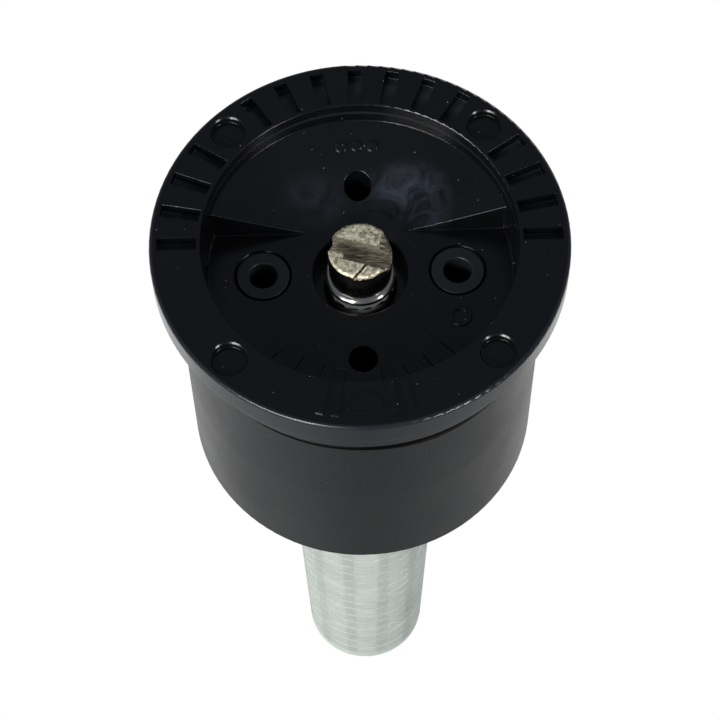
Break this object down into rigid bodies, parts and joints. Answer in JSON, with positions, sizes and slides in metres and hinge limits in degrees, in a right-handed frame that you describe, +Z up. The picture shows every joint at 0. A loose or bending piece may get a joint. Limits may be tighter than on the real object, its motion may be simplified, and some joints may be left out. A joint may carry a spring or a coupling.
{
  "type": "pop up sprinkler spray nozzle",
  "caption": "Half-circle spray nozzle for a pop up sprinkler: flanged deflector cap on a threaded base, with a radius screw and a tapered filter basket.",
  "frame": {"origin": "on the nozzle's axis, in the plane of the skirt's mouth where the riser enters", "axes": "+Z up along the nozzle's axis towards the slotted screw, +Y towards the side that sprays, +X to the right"},
  "size_m": [0.024, 0.024, 0.056],
  "materials": {
    "cap_plastic": "black moulded acetal, semi-gloss",
    "base_plastic": "very dark grey moulded acetal, fine satin",
    "screw_steel": "polished stainless steel with a worn slotted end",
    "seal_rubber": "matt black rubber",
    "filter_plastic": "pale grey-white polyethylene, slightly translucent",
    "mesh_plastic": "pale grey-white ribbed filter screen, slightly translucent"
  },
  "bodies": {
    "nozzle": {"deflector_cap": "cap_plastic", "nozzle_base": "base_plastic", "locating_pin_left": "cap_plastic", "locating_pin_right": "cap_plastic", "riser_washer": "seal_rubber"},
    "seal": {"screw_seal_ring": "seal_rubber"},
    "screw": {"adjusting_screw": "screw_steel"},
    "filter": {"filter_collar": "filter_plastic", "filter_frame": "filter_plastic", "filter_mesh": "mesh_plastic", "filter_foot": "filter_plastic"}
  },
  "joints": [
    {"name": "screw_travel", "type": "slide", "parent": "nozzle", "child": "seal", "axis": [0, 0, 1], "range_m": [-0.00159, 0.00079]},
    {"name": "screw_turn", "type": "hinge", "parent": "seal", "child": "screw", "pos_m": [0, 0, 0.015], "axis": [0, 0, 1], "range_deg": [-720.5, 360.5]},
    {"name": "filter_pull", "type": "slide", "parent": "nozzle", "child": "filter", "axis": [0, 0, -1], "range_m": [0, 0.05]}
  ],
  "couplings": [
    {"joint": "screw_turn", "follows": "screw_travel", "rad_per_m": 7915.8}
  ]
}
